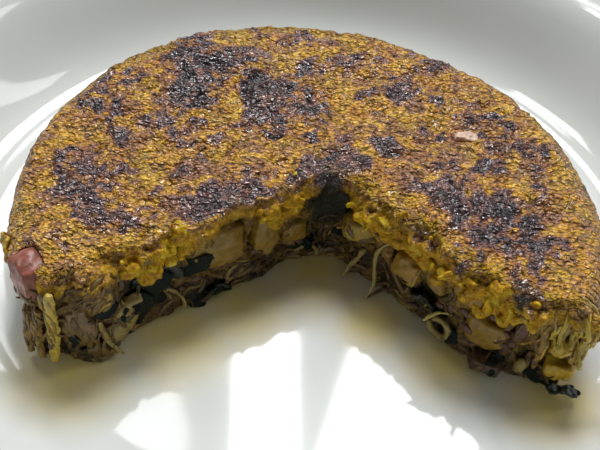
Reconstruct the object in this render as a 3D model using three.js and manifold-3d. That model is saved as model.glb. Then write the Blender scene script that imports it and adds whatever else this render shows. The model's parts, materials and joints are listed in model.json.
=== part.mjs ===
// A round sauerkraut omelette with one wedge cut out, served on its deep white plate.
// Millimetres, +Z up. The origin is the middle of the plate's foot, on the table, and the
// missing wedge opens towards -Y. Everything that belongs to the omelette is placed in the
// omelette's own group, whose origin is the middle of its base.

import * as THREE from "three";
import { mergeVertices } from "three/addons/utils/BufferGeometryUtils.js";
import Module from "manifold-3d";

const wasm = await Module();
wasm.setup();

// Driving dimensions

const GAP = 0.3; // clearance between two pieces that touch
const SOCKET = 0.5; // how far a hollow's surface is pushed out from the piece in it

const RIM_RADIUS = 143;
const RIM_HEIGHT = 43.4;
const RIM_SLOPE = 18; // of the narrow rim at the lip, in degrees
const RIM_BEND = 3.8; // how softly the wall turns out into the rim
const WELL_RADIUS = 92.5; // the flat floor of the well
const WELL_BEND = 24; // how far the floor's level is followed into the rising wall
const SHOULDER_RADIUS = 131; // where the well's wall turns into the rim
const SHOULDER_HEIGHT = 35.7;
const WALL_SLOPE = 52; // at the shoulder, in degrees
const WALL_BEND = 18.4;
const FLOOR_HEIGHT = 8;
const PLATE_WALL = 4.4;
const LIP_RADIUS = 2;
const FOOT_RADIUS = 84;
const FOOT_WIDTH = 6;
const PLATE_SEGMENTS = 44;

const OMELETTE_RADIUS = 90;
const OMELETTE_THICKNESS = 34.2;
const OMELETTE_OFFSET = -23; // the omelette lies this far in front of the plate's middle
const TOP_EDGE = 12; // rounding of the crust's edge
const BOTTOM_EDGE = 5;
const SIDE_LEAN = 4; // how much narrower the base is than the widest level
const OVAL = [-0.052, -0.015]; // cosine and sine share of the outline's two-lobed wave
const PEAR = [0.019, 0.016]; // the same for its three-lobed wave
const OUTLINE_SEGMENTS = 58;
const CRUST_RING = 9.5; // spacing of the rings that carry the crust's waves

// The knife's path seen from above, from each end to the apex.
const CUT_APEX = [5.5, 4.6];
const CUT_LEFT = [
  [-96, -10], [-81, -21], [-71.6, -30.6], [-64.6, -38.4], [-53, -39.2], [-43, -26],
  [-27, -16], [-12, -5.5],
];
const CUT_RIGHT = [
  [97, -49], [78, -43], [63, -38.5], [52, -33.5], [43, -27], [35.5, -17.6], [22, -6], [15, 1.5],
];
const CUT_STEPS = 62;
const CUT_LEVELS = 8;
const CUT_FRONT = 150; // how far in front of the middle the cutting solid reaches

const CURD_STEP = 5.2; // spacing of the soft egg curds that hang under the crust's cut edge
const CURD_RADIUS = 3.5;

// Colours

const GLAZE_WHITE = 0xe9ebe6;
const CRUST_GOLD = 0xa8742c;
const POTATO_TAN = 0xb08a45;
const POTATO_YELLOW = 0xb9952f;
const HAM_PINK = 0xa85a50;
const HAM_BROWN = 0x6d4a3c;
const KRAUT_PALE = 0xb3a35c;
const KRAUT_TAN = 0x9c7f45;
const EGG_YELLOW = 0xc99a1c;
const LEAF_DARK = 0x1f2c22;
const ONION_PALE = 0xd0a08c;

// Small helpers

function seededRandom(seed) {
  let state = seed;
  return () => {
    state = (state * 1664525 + 1013904223) % 4294967296;
    return state / 4294967296;
  };
}

function smoothStep(from, to, value) {
  const share = Math.min(Math.max((value - from) / (to - from), 0), 1);
  return share * share * (3 - 2 * share);
}

// Keeps only the positions and joins the vertices that lie in one place.
function welded(geometry) {
  const bare = geometry.clone();
  bare.deleteAttribute("normal");
  bare.deleteAttribute("uv");
  return mergeVertices(bare, 1e-4);
}

function solidOf(geometry, matrix = new THREE.Matrix4()) {
  const closed = welded(geometry).applyMatrix4(matrix);
  return new wasm.Manifold(new wasm.Mesh({
    numProp: 3,
    vertProperties: new Float32Array(closed.attributes.position.array),
    triVerts: new Uint32Array(closed.index.array),
  }));
}

function geometryOf(solid) {
  const mesh = solid.getMesh();
  const geometry = new THREE.BufferGeometry();
  geometry.setAttribute("position", new THREE.BufferAttribute(mesh.vertProperties, 3));
  geometry.setIndex(new THREE.BufferAttribute(mesh.triVerts, 1));
  return geometry;
}

// The same closed surface pushed outwards by a distance, for the hollow that a piece lies in.
// Each corner moves along the mean of the faces round it, weighted by their angles there.
function swollen(geometry, distance) {
  const closed = welded(geometry);
  const place = closed.attributes.position;
  const corners = Array.from({ length: place.count }, (_, i) => (
    new THREE.Vector3().fromBufferAttribute(place, i)));
  const directions = corners.map(() => new THREE.Vector3());
  const index = closed.index.array;
  for (let first = 0; first < index.length; first += 3) {
    const face = [index[first], index[first + 1], index[first + 2]];
    const normal = new THREE.Triangle(...face.map((i) => corners[i])).getNormal(new THREE.Vector3());
    face.forEach((at, i) => {
      const before = corners[face[(i + 2) % 3]].clone().sub(corners[at]);
      const after = corners[face[(i + 1) % 3]].clone().sub(corners[at]);
      directions[at].addScaledVector(normal, before.angleTo(after));
    });
  }
  directions.forEach((direction, i) => {
    const moved = corners[i].addScaledVector(direction.normalize(), distance);
    place.setXYZ(i, moved.x, moved.y, moved.z);
  });
  return closed;
}

function roundOutline(sides) {
  const outline = [];
  for (let side = 0; side < sides; side += 1) {
    const angle = (2 * Math.PI * side) / sides;
    outline.push(new THREE.Vector2(Math.cos(angle), Math.sin(angle)));
  }
  return outline;
}

function material(color, roughness = 0.6) {
  return new THREE.MeshStandardMaterial({ color, roughness, metalness: 0 });
}

// A closed solid through a stack of rings with equally many points, each ring running
// anticlockwise seen from the last one. The flat outline says how the two ends are closed.
function stackedSolid(rings, outline) {
  const count = outline.length;
  const caps = THREE.ShapeUtils.triangulateShape(outline, []);
  const top = (rings.length - 1) * count;
  const index = [];
  for (const [a, b, c] of caps) {
    index.push(a, c, b);
    index.push(top + a, top + b, top + c);
  }
  for (let level = 0; level < rings.length - 1; level += 1) {
    for (let i = 0; i < count; i += 1) {
      const a = level * count + i;
      const b = level * count + ((i + 1) % count);
      index.push(a, b, b + count);
      index.push(a, b + count, a + count);
    }
  }
  const geometry = new THREE.BufferGeometry().setFromPoints(rings.flat());
  geometry.setIndex(index);
  return geometry;
}

// The plate

// A point at a distance from another along a slope, uphill where the distance is positive.
function alongSlope([x, z], degrees, distance) {
  const angle = THREE.MathUtils.degToRad(degrees);
  return [x + distance * Math.cos(angle), z + distance * Math.sin(angle)];
}

function plateProfile() {
  const underside = FLOOR_HEIGHT - PLATE_WALL;
  const lip = [RIM_RADIUS - LIP_RADIUS, RIM_HEIGHT - LIP_RADIUS];
  const shoulder = [SHOULDER_RADIUS, SHOULDER_HEIGHT];
  const underShoulder = alongSlope(shoulder, WALL_SLOPE - 90, PLATE_WALL);
  const profile = new THREE.Path();
  profile.moveTo(0, underside);
  profile.lineTo(FOOT_RADIUS - FOOT_WIDTH - 1, underside);
  profile.lineTo(FOOT_RADIUS - FOOT_WIDTH, 0);
  profile.lineTo(FOOT_RADIUS, 0);
  profile.lineTo(FOOT_RADIUS + 1, underside);
  profile.lineTo(WELL_RADIUS + 2, underside);
  profile.bezierCurveTo(
    WELL_RADIUS + WELL_BEND, underside,
    ...alongSlope(underShoulder, WALL_SLOPE, -WALL_BEND),
    ...underShoulder,
  );
  const lipStart = THREE.MathUtils.degToRad(-45);
  const lipEnd = THREE.MathUtils.degToRad(90 + RIM_SLOPE);
  profile.absarc(...lip, LIP_RADIUS, lipStart, lipEnd, false);
  const rim = alongSlope(lip, 90 + RIM_SLOPE, LIP_RADIUS);
  profile.bezierCurveTo(
    ...alongSlope(rim, RIM_SLOPE, -RIM_BEND),
    ...alongSlope(shoulder, WALL_SLOPE, RIM_BEND),
    ...shoulder,
  );
  profile.bezierCurveTo(
    ...alongSlope(shoulder, WALL_SLOPE, -WALL_BEND),
    WELL_RADIUS + WELL_BEND, FLOOR_HEIGHT,
    WELL_RADIUS, FLOOR_HEIGHT,
  );
  profile.lineTo(0, FLOOR_HEIGHT);
  return profile.getPoints(4);
}

function plateGeometry() {
  const geometry = new THREE.LatheGeometry(plateProfile(), PLATE_SEGMENTS);
  return geometry.rotateX(Math.PI / 2);
}

// The omelette's outer form

function outlineRadius(angle) {
  const oval = OVAL[0] * Math.cos(2 * angle) + OVAL[1] * Math.sin(2 * angle);
  const pear = PEAR[0] * Math.cos(3 * angle) + PEAR[1] * Math.sin(3 * angle);
  return OMELETTE_RADIUS * (1 + oval + pear);
}

// How far the crust's surface rises above or sinks below its mean level.
function crustWave(x, y) {
  const broad = 0.9 * Math.sin(x / 17 + 0.6) * Math.cos(y / 14 - 0.3);
  const fine = 0.55 * Math.sin(x / 7.9 - y / 9.3 + 1.1);
  return broad + fine - 0.4;
}

// The side seen in section, from the middle of the base to the middle of the crust.
function omeletteProfile() {
  const radius = OMELETTE_RADIUS;
  const height = OMELETTE_THICKNESS;
  const profile = new THREE.Path();
  const footing = radius - SIDE_LEAN - BOTTOM_EDGE;
  profile.moveTo(0, 0);
  profile.lineTo(footing, 0);
  profile.absarc(footing, BOTTOM_EDGE, BOTTOM_EDGE, -Math.PI / 2, 0, false);
  profile.lineTo(radius - SIDE_LEAN / 2, (BOTTOM_EDGE + height - TOP_EDGE) / 2);
  profile.absarc(radius - TOP_EDGE, height - TOP_EDGE, TOP_EDGE, 0, Math.PI / 2, false);
  const flat = radius - TOP_EDGE;
  const rings = Math.round(flat / CRUST_RING);
  for (let ring = rings - 1; ring >= 0; ring -= 1) {
    profile.lineTo((flat * ring) / rings, height);
  }
  return profile.getPoints(4);
}

function wholeOmelette() {
  const geometry = new THREE.LatheGeometry(omeletteProfile(), OUTLINE_SEGMENTS);
  geometry.rotateX(Math.PI / 2);
  const place = geometry.attributes.position;
  for (let i = 0; i < place.count; i += 1) {
    const scale = outlineRadius(Math.atan2(place.getY(i), place.getX(i))) / OMELETTE_RADIUS;
    const x = place.getX(i) * scale;
    const y = place.getY(i) * scale;
    const z = place.getZ(i);
    const crust = smoothStep(OMELETTE_THICKNESS - TOP_EDGE, OMELETTE_THICKNESS, z);
    place.setXYZ(i, x, y, z + crust * crustWave(x, y));
  }
  return geometry;
}

// The cut

const cutPath = [...CUT_LEFT, CUT_APEX, ...[...CUT_RIGHT].reverse()];
const cutCurve = new THREE.SplineCurve(cutPath.map(([x, y]) => new THREE.Vector2(x, y)));
cutCurve.arcLengthDivisions = 40 * (cutPath.length - 1);
const CUT_LENGTH = cutCurve.getLength();
const APEX_AT = cutCurve.getLengths()[40 * CUT_LEFT.length];

// How far the cut face stands out of the knife's path at a height and at a distance along
// it, which is counted from the apex and is negative towards the left end: a ragged lip of
// crust, a hollow below it, and lumps of filling.
function cutRelief(along, z) {
  const level = z / OMELETTE_THICKNESS;
  const lip = 2.2 * smoothStep(0.5, 0.85, level) - 1.2 * smoothStep(0.93, 1, level);
  const hollow = -1.3 * Math.exp(-(((level - 0.28) / 0.16) ** 2));
  const lumps = 0.9 * Math.sin(along / 5.3 + 0.2) * Math.cos(z / 6.1 + along / 31);
  const rags = 0.6 * Math.sin(along / 2.9 + z / 4.7 + 2);
  return lip + hollow + lumps + rags;
}

// A point on the cut face, and the direction that it faces.
function onCut(along, z, out = 0) {
  const share = Math.min(Math.max((along + APEX_AT) / CUT_LENGTH, 0), 1);
  const tangent = cutCurve.getTangentAt(share);
  const normal = new THREE.Vector2(tangent.y, -tangent.x);
  const point = cutCurve.getPointAt(share);
  point.addScaledVector(normal, cutRelief(along, z) + out);
  return new THREE.Vector3(point.x, point.y, z);
}

function missingWedge() {
  const low = -3;
  const high = OMELETTE_THICKNESS + 6;
  const rings = [];
  for (let level = 0; level <= CUT_LEVELS + 2; level += 1) {
    const inside = Math.min(Math.max((level - 1) / CUT_LEVELS, 0), 1);
    const z = inside * OMELETTE_THICKNESS;
    const height = level === 0 ? low : level > CUT_LEVELS + 1 ? high : z;
    const ring = [
      new THREE.Vector3(-CUT_FRONT, -CUT_FRONT, height),
      new THREE.Vector3(CUT_FRONT, -CUT_FRONT, height),
    ];
    for (let step = CUT_STEPS; step >= 0; step -= 1) {
      const point = onCut((CUT_LENGTH * step) / CUT_STEPS - APEX_AT, z);
      ring.push(new THREE.Vector3(point.x, point.y, height));
    }
    rings.push(ring);
  }
  const outline = rings[0].map((point) => new THREE.Vector2(point.x, point.y));
  return stackedSolid(rings, outline);
}

// Stretches of the cut, in millimetres from the apex, where soft egg curds hang under the
// crust's edge.
const CURD_STRETCHES = [[-80, -62], [-57, -38], [-20, -7], [13, 42], [50, 72], [80, 88]];

function eggCurds() {
  const random = seededRandom(41);
  const curds = [];
  for (const [from, to] of CURD_STRETCHES) {
    for (let along = from; along < to; along += CURD_STEP) {
      const radius = CURD_RADIUS * (0.8 + 0.4 * random());
      const curd = new THREE.IcosahedronGeometry(radius, 0);
      curd.scale(1.15, 1, 0.85 + 0.3 * random());
      curd.rotateZ(random() * Math.PI);
      const height = OMELETTE_THICKNESS - radius - 0.6 - 2.6 * random();
      const place = onCut(along + random(), height, -0.45 * radius);
      curds.push(curd.translate(place.x, place.y, place.z));
    }
  }
  return curds;
}

// Loose pieces of filling, each made around its own origin

// A diced piece with soft corners and slightly uneven faces.
function dice(width, depth, height, seed) {
  const half = [width / 2, depth / 2, height / 2];
  const segments = Math.max(width, height) < 10 ? 2 : 3;
  const geometry = welded(new THREE.BoxGeometry(2, 2, 2, segments, segments, segments));
  const place = geometry.attributes.position;
  for (let i = 0; i < place.count; i += 1) {
    const unit = [place.getX(i), place.getY(i), place.getZ(i)];
    const norm = unit.reduce((sum, value) => sum + value ** 4, 0) ** (1 / 4);
    const uneven = 1 + 0.05 * Math.sin(3 * unit[0] + 5 * unit[1] - 4 * unit[2] + seed);
    const corner = unit.map((value, axis) => (value / norm) * uneven * half[axis]);
    place.setXYZ(i, ...corner);
  }
  return geometry;
}

// A shred or strand of oval section along a curve through hand-placed points. The flat side
// turns towards -Y, and both ends taper.
function strand(points, width, thickness) {
  const curve = new THREE.CatmullRomCurve3(points.map((point) => new THREE.Vector3(...point)));
  const steps = Math.max(5, Math.ceil(curve.getLength() / 2.4));
  const outline = roundOutline(6);
  const rings = [];
  for (let step = 0; step <= steps; step += 1) {
    const share = step / steps;
    const tangent = curve.getTangentAt(share);
    const across = new THREE.Vector3(0, -1, 0).cross(tangent).normalize();
    const outward = tangent.clone().cross(across);
    const taper = 0.45 + 0.55 * Math.sqrt(Math.sin(Math.PI * (0.06 + 0.88 * share)));
    const middle = curve.getPointAt(share);
    rings.push(outline.map((point) => middle.clone()
      .addScaledVector(across, (point.x * taper * width) / 2)
      .addScaledVector(outward, (point.y * taper * thickness) / 2)));
  }
  return stackedSolid(rings, outline);
}

// A thin wavy leaf that stands in the XZ plane. Its two faces have the same triangles.
function leaf(length, height, wave) {
  const thickness = 0.9;
  const columns = 6;
  const rows = 3;
  const stride = columns + 1;
  const size = stride * (rows + 1);
  const points = [];
  for (const side of [-1, 1]) {
    for (let i = 0; i < size; i += 1) {
      const u = (2 * (i % stride)) / columns - 1;
      const v = (2 * Math.floor(i / stride)) / rows - 1;
      const span = Math.sqrt(1 - 0.82 * u * u) * (1 + 0.12 * Math.sin(9 * u));
      const bend = wave * Math.sin(4.7 * u + 1.2 * v) + 0.4 * wave * v * v;
      points.push(new THREE.Vector3(
        (u * length) / 2,
        bend + (side * thickness) / 2,
        (v * span * height) / 2,
      ));
    }
  }
  const index = [];
  for (let row = 0; row < rows; row += 1) {
    for (let column = 0; column < columns; column += 1) {
      const a = row * stride + column;
      const b = a + 1;
      const c = a + stride;
      const d = c + 1;
      index.push(a, b, d, a, d, c);
      index.push(size + a, size + d, size + b, size + a, size + c, size + d);
    }
  }
  const edge = (a, b) => index.push(a, size + a, size + b, a, size + b, b);
  for (let column = 0; column < columns; column += 1) {
    edge(column, column + 1);
    edge(rows * stride + column + 1, rows * stride + column);
  }
  for (let row = 0; row < rows; row += 1) {
    edge(row * stride + columns, (row + 1) * stride + columns);
    edge((row + 1) * stride, row * stride);
  }
  return new THREE.BufferGeometry().setFromPoints(points).setIndex(index);
}

// A bent oval slice with a rounded edge, standing in the XZ plane.
function ovalSlice(length, width, thickness) {
  const outline = roundOutline(14);
  const rings = [0.8, 1, 0.8].map((scale, level) => outline.map((point) => {
    const x = (point.x * scale * width) / 2;
    const z = (point.y * scale * length) / 2;
    return new THREE.Vector3(x, ((1 - level) * thickness) / 2 + (x * x) / 12, z);
  }));
  return stackedSolid(rings, outline);
}

function ringSlice(radius, tube) {
  return new THREE.TorusGeometry(radius, tube, 6, 14).rotateX(Math.PI / 2);
}

function drop(width, height) {
  const geometry = new THREE.SphereGeometry(1, 10, 8).rotateX(Math.PI / 2);
  return geometry.scale(width / 2, width / 2, height / 2);
}

// The kraut that bulges out below the crust at the left end of the cut.
function krautHeap() {
  return dice(10, 10, 19, 16).rotateZ(0.3).translate(-68.2, -34.2, 9.6);
}

// Every piece of filling that shows by itself: name, shape, colour, then its place in the
// omelette's group and its turns about X, Y and Z in degrees.
const PIECES = [
  ["potato_left_wide", dice(18, 11, 15.5, 1), POTATO_TAN, [-24.8, -11, 20.3], [0, 0, 34]],
  ["potato_left_tall", dice(9, 10, 17, 2), POTATO_TAN, [-11.8, -2.8, 18.6], [0, 6, 33]],
  ["potato_left_apex", dice(9, 9, 12, 3), POTATO_TAN, [-3.2, 3.4, 13.4], [8, 0, 25]],
  ["potato_left_end", dice(10.5, 11, 17, 4), KRAUT_TAN, [-58.4, -35, 12.6], [0, -8, 4]],
  ["potato_right_apex", dice(12.5, 10, 7.5, 5), POTATO_YELLOW, [18.6, -0.4, 19], [0, 4, -10]],
  ["potato_right_upper", dice(10, 9, 9.5, 6), POTATO_YELLOW, [32.3, -12.8, 16.8], [0, 5, -46]],
  ["potato_right_brown", dice(7, 8, 9, 7), POTATO_TAN, [39.8, -20, 20], [0, -6, -48]],
  ["potato_right_yellow", dice(10, 9, 8.4, 8), POTATO_YELLOW, [47.4, -26.6, 24], [0, 8, -34]],
  ["potato_right_large", dice(12.5, 10.5, 11.5, 9), POTATO_TAN, [53, -30.2, 12.8], [0, 4, -28]],
  ["ham_left_end", dice(9.5, 11, 13, 10), HAM_PINK, [-68.6, -33.4, 27.4], [0, 6, 42]],
  ["ham_right_sliver", dice(3.2, 4, 10, 11), HAM_BROWN, [59.2, -37.2, 21], [0, 8, -20]],
  ["ham_right_base", dice(9.5, 8, 5, 12), HAM_BROWN, [53.6, -35, 2.8], [0, 0, -22]],
  ["onion_on_crust", dice(8, 4.5, 2.6, 13), ONION_PALE, [49.5, 26.5, 33.6], [0, 0, -12]],
  ["cabbage_slice_left", ovalSlice(19, 10, 3.4), KRAUT_PALE, [-47, -32, 9.6], [0, 40, 42]],
  ["leaf_left_upper", leaf(15, 9.5, 0.9), LEAF_DARK, [-38.6, -24, 17.6], [8, 12, 38]],
  ["leaf_left_base", leaf(9, 5, 0.8), LEAF_DARK, [-24.2, -14.4, 3.2], [40, 6, 33]],
  ["leaf_right_middle", leaf(9, 5, 0.8), LEAF_DARK, [36, -19.8, 8.8], [20, -8, -42]],
  ["leaf_right_base", leaf(8, 5.5, 0.7), LEAF_DARK, [72.6, -44, 3.4], [64, -10, -18]],
  ["leek_ring_right", ringSlice(3.3, 1.05), KRAUT_PALE, [40.9, -26.2, 5.2], [0, 0, -42]],
  ["kraut_drop_right", drop(3.4, 5.4), KRAUT_PALE, [61.6, -38.6, 6.4], [0, 12, 0]],
  ["egg_crumb_right", dice(5, 4.6, 6, 14), EGG_YELLOW, [68, -42, 20.4], [10, 14, -20]],
  ["egg_lump_right_base", dice(8.5, 7, 6.5, 15), EGG_YELLOW, [71.2, -39.6, 8.6], [0, 0, -16]],
  ["egg_flap_left", leaf(9, 8, 0.8), EGG_YELLOW, [-78.6, -23, 26], [0, 0, -66]],
];

// Shreds of kraut and strips of egg that hang or lie on the cut: name, colour, width,
// thickness, then the points of the curve that each follows in the omelette's group.
const STRANDS = [
  ["kraut_left_outer", KRAUT_TAN, 2.8, 1.9, [
    [-70.6, -36.2, 18], [-71.8, -37.4, 13], [-72.4, -38, 7], [-72.6, -38.8, 1.8]]],
  ["kraut_left_middle", KRAUT_TAN, 2.6, 1.9, [
    [-66.4, -40, 21], [-67.6, -40.2, 16], [-68.8, -39.8, 9], [-69.2, -40.4, 1.4]]],
  ["egg_strip_left", EGG_YELLOW, 3.6, 2.2, [
    [-61, -42.6, 31], [-62.2, -42.4, 23], [-63.4, -41.2, 14], [-64.6, -41, 7],
    [-65.2, -41.6, 1.6]]],
  ["kraut_left_thin", KRAUT_PALE, 1.5, 1.2, [
    [-51.9, -37.7, 15], [-52, -37.5, 10], [-50.5, -37.4, 5], [-47.4, -37.8, 1]]],
  ["kraut_left_low", KRAUT_PALE, 1.5, 1.2, [
    [-37.6, -20.6, 9.6], [-35, -19.6, 7], [-33.2, -19.8, 4], [-32.6, -20.4, 1]]],
  ["kraut_apex_loop", KRAUT_PALE, 1.8, 1.4, [
    [-1.6, 1.4, 4.6], [1.6, 3, 5.6], [4.6, 4, 4.2], [5.6, 3.6, 1.2]]],
  ["kraut_apex_right", KRAUT_PALE, 1.6, 1.2, [
    [19.8, -2.6, 11.4], [18.2, -3, 8.4], [15.6, -3.6, 4.6], [13.6, -4.8, 1]]],
  ["kraut_hanging", KRAUT_PALE, 1.5, 1.1, [
    [28.6, -11.6, 24.8], [25, -10.4, 21.8], [22.4, -9.2, 16.6], [22.4, -9.8, 10.5],
    [22.6, -11.4, 5], [20.4, -13.4, 0.8]]],
  ["kraut_right_tip", KRAUT_PALE, 1.4, 1.1, [
    [43.6, -26.8, 11.4], [41.2, -26, 11.8], [38.6, -25.6, 10.4], [36, -25.4, 7.2]]],
  ["kraut_right_inner", KRAUT_TAN, 2.2, 1.6, [
    [63.6, -40, 25], [64.4, -40.4, 18], [64.8, -39.6, 12], [65, -39.2, 6]]],
  ["kraut_right_outer", KRAUT_TAN, 2.2, 1.6, [
    [72.4, -41.8, 28], [73.6, -42.2, 21], [74.4, -42.6, 15], [74.8, -43, 12]]],
  ["kraut_right_edge", EGG_YELLOW, 2, 1.6, [
    [70.4, -36, 33.6], [73.6, -37.6, 31.2], [76.8, -38.6, 26.6], [78.2, -39.4, 20]]],
];

function pieceMatrix(place, turns) {
  const angles = turns.map((degrees) => THREE.MathUtils.degToRad(degrees));
  const rotation = new THREE.Quaternion().setFromEuler(new THREE.Euler(...angles, "ZYX"));
  return new THREE.Matrix4().compose(
    new THREE.Vector3(...place), rotation, new THREE.Vector3(1, 1, 1),
  );
}

const filling = [
  ...PIECES.map(([name, geometry, color, place, turns]) => (
    { name, geometry, color, matrix: pieceMatrix(place, turns) })),
  ...STRANDS.map(([name, color, width, thickness, points]) => (
    { name, geometry: strand(points, width, thickness), color, matrix: new THREE.Matrix4() })),
];

function omeletteGeometry() {
  let omelette = solidOf(wholeOmelette()).subtract(solidOf(missingWedge()));
  for (const lump of [...eggCurds(), krautHeap()]) {
    omelette = omelette.add(solidOf(lump));
  }
  for (const { geometry, matrix } of filling) {
    omelette = omelette.subtract(solidOf(swollen(geometry, SOCKET), matrix));
  }
  return geometryOf(omelette);
}

// The assembled part

const part = new THREE.Group();

const plate = new THREE.Mesh(plateGeometry(), material(GLAZE_WHITE, 0.15));
plate.name = "plate";
part.add(plate);

const omeletteGroup = new THREE.Group();
omeletteGroup.position.set(0, OMELETTE_OFFSET, FLOOR_HEIGHT + GAP);
part.add(omeletteGroup);

const omelette = new THREE.Mesh(omeletteGeometry(), material(CRUST_GOLD, 0.7));
omelette.name = "omelette";
omeletteGroup.add(omelette);

for (const { name, geometry, color, matrix } of filling) {
  const mesh = new THREE.Mesh(geometry, material(color));
  mesh.name = name;
  matrix.decompose(mesh.position, mesh.quaternion, mesh.scale);
  omeletteGroup.add(mesh);
}

export default part;
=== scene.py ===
# Looks of a sauerkraut omelette with one wedge cut out, on its white plate.
# The frame is in metres. Everything that belongs to the omelette is worked out in millimetres
# in the omelette's own frame, whose origin is the middle of its base.

import json
import math

import bmesh
import bpy
import numpy as np
from mathutils import Matrix, Vector
from mathutils.bvhtree import BVHTree

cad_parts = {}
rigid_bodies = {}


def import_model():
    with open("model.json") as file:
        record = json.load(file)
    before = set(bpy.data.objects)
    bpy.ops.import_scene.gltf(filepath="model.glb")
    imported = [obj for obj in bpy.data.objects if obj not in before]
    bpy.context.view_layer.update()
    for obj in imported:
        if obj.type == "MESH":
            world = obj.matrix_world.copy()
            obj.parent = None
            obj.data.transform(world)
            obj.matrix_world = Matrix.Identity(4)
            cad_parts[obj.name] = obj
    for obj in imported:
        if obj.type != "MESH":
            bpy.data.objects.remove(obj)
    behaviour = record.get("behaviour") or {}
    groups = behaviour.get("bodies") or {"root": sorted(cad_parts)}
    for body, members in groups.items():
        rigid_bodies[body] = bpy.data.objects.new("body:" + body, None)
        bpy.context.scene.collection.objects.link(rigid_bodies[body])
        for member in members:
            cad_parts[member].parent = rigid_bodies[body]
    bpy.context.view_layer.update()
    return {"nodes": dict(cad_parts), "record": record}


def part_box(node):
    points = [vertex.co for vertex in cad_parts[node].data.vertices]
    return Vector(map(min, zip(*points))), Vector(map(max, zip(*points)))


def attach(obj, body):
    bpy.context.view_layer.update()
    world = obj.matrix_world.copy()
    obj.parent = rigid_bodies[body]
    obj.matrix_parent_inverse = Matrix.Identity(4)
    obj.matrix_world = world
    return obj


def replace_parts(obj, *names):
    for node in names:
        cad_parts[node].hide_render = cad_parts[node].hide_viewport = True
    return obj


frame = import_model()

MM = 0.001

# The omelette's driving dimensions, in millimetres

ORIGIN = np.array([0.0, -23.0, 8.3])
RADIUS = 90.0
THICKNESS = 34.2

# How far the crust's highest bump stands over it, and the lowest place of a loose thing
HIGHEST_BUMP = 1.9
ABOVE_PLATE = 0.1

# The size of the even quads that the cake and the curds are made of
CRUST_VOXEL = 0.72
CURD_VOXEL = 0.42

# The knife's path seen from above, from the left end to the apex and on to the right end
CUT_LEFT = [(-96, -10), (-81, -21), (-71.6, -30.6), (-64.6, -38.4), (-53, -39.2), (-43, -26),
            (-27, -16), (-12, -5.5)]
CUT_APEX = (5.5, 4.6)
CUT_RIGHT = [(15, 1.5), (22, -6), (35.5, -17.6), (43, -27), (52, -33.5), (63, -38.5),
             (78, -43), (97, -49)]

# Stretches of the cut, counted from the apex, where egg curds hang under the crust's edge, the
# share of them that are large, and how far down they start
CURD_STRETCHES = [(-60, -41, 0.35, 3.5), (-20, -7, 0.2, 6),
                  (13, 43, 0.15, 7), (50, 72, 0.3, 6.5)]

# The stretch where the crust's edge shows a thin yellow line of egg, also without curds
THIN_EGG_EDGE = (-92, 90)

# A stretch where the crust's edge is drawn back from the knife's path, and how far
DRAWN_BACK = (-82, -63, 3.2)

# Dark places of the cut, partly dark leaf and char, partly painted shadow in gaps and hollows: the
# place along it, the height, half width, half height, darkness
DARK_AND_SHADOWED_PLACES = [
    (-55, 16, 12, 6.5, 1.0), (-38, 3, 6, 3, 1.0), (-80, 11, 11, 10, 0.6), (-80, 28.5, 4, 1.5, 0.9),
    (2, 26, 7, 13, 1.0), (-4, 6, 9, 6, 0.6), (42, 9, 7, 4.5, 1.0), (22, 6, 9, 5, 0.6),
    (31, 26, 3, 8, 0.4), (67, 31, 2.5, 1.6, 1.0), (71, 28, 1.5, 1.5, 1.0), (62, 5, 6, 5, 0.6),
    (84, 1, 6, 2, 1.0), (-24, 5, 9, 4, 0.6), (74, 6, 4, 4, 0.6), (50, 3, 5, 2, 0.8),
]

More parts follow.
